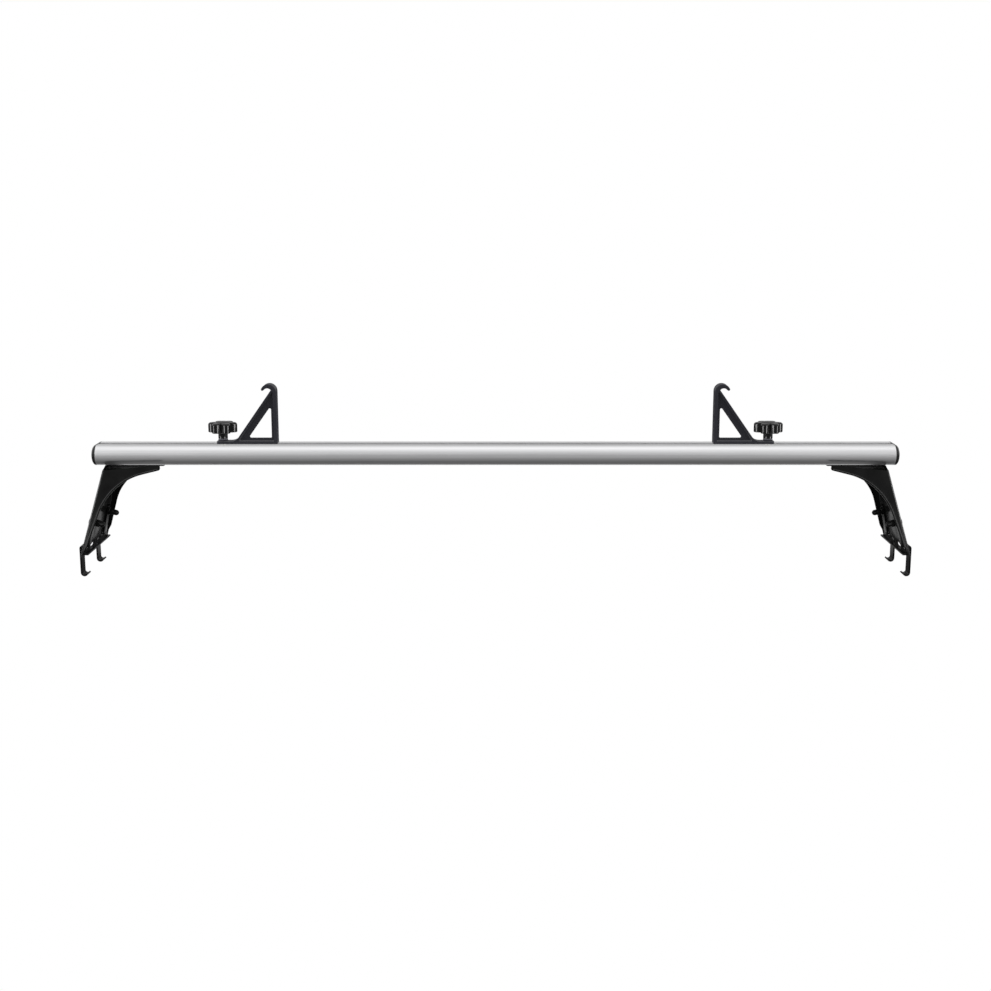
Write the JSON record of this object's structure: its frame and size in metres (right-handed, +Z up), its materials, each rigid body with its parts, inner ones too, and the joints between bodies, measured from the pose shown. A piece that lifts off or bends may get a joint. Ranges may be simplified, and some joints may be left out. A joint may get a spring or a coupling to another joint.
{
  "type": "bed cargo bar",
  "caption": "An aluminium crossbar with rounded noses and T-slots above and below, carried on two sloping sheet-steel legs with gutter hooks, with two sliding ladder stops clamped by star knobs.",
  "frame": {"origin": "on the ground plane under the middle of the bar, level with the undersides of the gutter hooks", "axes": "+X along the bar to the viewer's right, +Y away from the viewer, +Z up"},
  "size_m": [1.5716, 0.189, 0.3585],
  "materials": {
    "aluminium_bar": "satin anodised extrusion, brushed along its length",
    "end_cap_plastic": "black moulded plastic, satin",
    "charcoal_casting": "fine textured dark grey powder coat on a casting",
    "black_coated_steel": "semi-gloss black powder coat",
    "zinc_steel": "bright zinc plate",
    "knob_plastic": "glossy black moulded plastic",
    "pad_rubber": "matt black rubber",
    "brass_insert": "turned brass"
  },
  "bodies": {
    "bar": {"crossbar": "aluminium_bar", "end_cap_left": "end_cap_plastic", "end_cap_right": "end_cap_plastic"},
    "leg_assembly_left": {"leg_left": "black_coated_steel", "saddle_plate_left": "black_coated_steel", "saddle_pad_left": "pad_rubber", "leg_tbolt_inner_left": "zinc_steel", "leg_washer_inner_left": "zinc_steel", "leg_nut_inner_left": "zinc_steel", "leg_tbolt_outer_left": "zinc_steel", "leg_washer_outer_left": "zinc_steel", "leg_nut_outer_left": "zinc_steel"},
    "hook_front_left": {"gutter_hook_front_left": "black_coated_steel", "hook_bolt_front_left": "black_coated_steel", "hook_washer_front_left": "black_coated_steel", "hook_cap_nut_front_left": "black_coated_steel"},
    "hook_rear_left": {"gutter_hook_rear_left": "black_coated_steel", "hook_bolt_rear_left": "black_coated_steel", "hook_washer_rear_left": "black_coated_steel", "hook_cap_nut_rear_left": "black_coated_steel"},
    "stop_left": {"ladder_stop_left": "charcoal_casting", "stop_tbolt_left": "zinc_steel", "knob_washer_left": "zinc_steel"},
    "knob_left": {"star_knob_left": "knob_plastic", "knob_insert_left": "brass_insert"},
    "leg_assembly_right": {"leg_right": "black_coated_steel", "saddle_plate_right": "black_coated_steel", "saddle_pad_right": "pad_rubber", "leg_tbolt_inner_right": "zinc_steel", "leg_washer_inner_right": "zinc_steel", "leg_nut_inner_right": "zinc_steel", "leg_tbolt_outer_right": "zinc_steel", "leg_washer_outer_right": "zinc_steel", "leg_nut_outer_right": "zinc_steel"},
    "hook_front_right": {"gutter_hook_front_right": "black_coated_steel", "hook_bolt_front_right": "black_coated_steel", "hook_washer_front_right": "black_coated_steel", "hook_cap_nut_front_right": "black_coated_steel"},
    "hook_rear_right": {"gutter_hook_rear_right": "black_coated_steel", "hook_bolt_rear_right": "black_coated_steel", "hook_washer_rear_right": "black_coated_steel", "hook_cap_nut_rear_right": "black_coated_steel"},
    "stop_right": {"ladder_stop_right": "charcoal_casting", "stop_tbolt_right": "zinc_steel", "knob_washer_right": "zinc_steel"},
    "knob_right": {"star_knob_right": "knob_plastic", "knob_insert_right": "brass_insert"}
  },
  "joints": [
    {"name": "leg_slide_left", "type": "slide", "parent": "bar", "child": "leg_assembly_left", "axis": [-1, 0, 0], "range_m": [-0.08, 0.015]},
    {"name": "hook_slide_front_left", "type": "slide", "parent": "leg_assembly_left", "child": "hook_front_left", "axis": [-0.2283, 0, -0.9736], "range_m": [0, 0.003]},
    {"name": "hook_slide_rear_left", "type": "slide", "parent": "leg_assembly_left", "child": "hook_rear_left", "axis": [-0.2283, 0, -0.9736], "range_m": [0, 0.003]},
    {"name": "stop_slide_left", "type": "slide", "parent": "bar", "child": "stop_left", "axis": [-1, 0, 0], "range_m": [-0.38, 0.2]},
    {"name": "knob_turn_left", "type": "hinge", "parent": "stop_left", "child": "knob_left", "pos_m": [-0.5191, 0, 0.27], "axis": [0, 0, 1], "range_deg": [0, 720]},
    {"name": "leg_slide_right", "type": "slide", "parent": "bar", "child": "leg_assembly_right", "axis": [1, 0, 0], "range_m": [-0.08, 0.015]},
    {"name": "hook_slide_front_right", "type": "slide", "parent": "leg_assembly_right", "child": "hook_front_right", "axis": [0.2283, 0, -0.9736], "range_m": [0, 0.003]},
    {"name": "hook_slide_rear_right", "type": "slide", "parent": "leg_assembly_right", "child": "hook_rear_right", "axis": [0.2283, 0, -0.9736], "range_m": [0, 0.003]},
    {"name": "stop_slide_right", "type": "slide", "parent": "bar", "child": "stop_right", "axis": [1, 0, 0], "range_m": [-0.38, 0.2]},
    {"name": "knob_turn_right", "type": "hinge", "parent": "stop_right", "child": "knob_right", "pos_m": [0.5191, 0, 0.27], "axis": [0, 0, 1], "range_deg": [0, 720]}
  ]
}
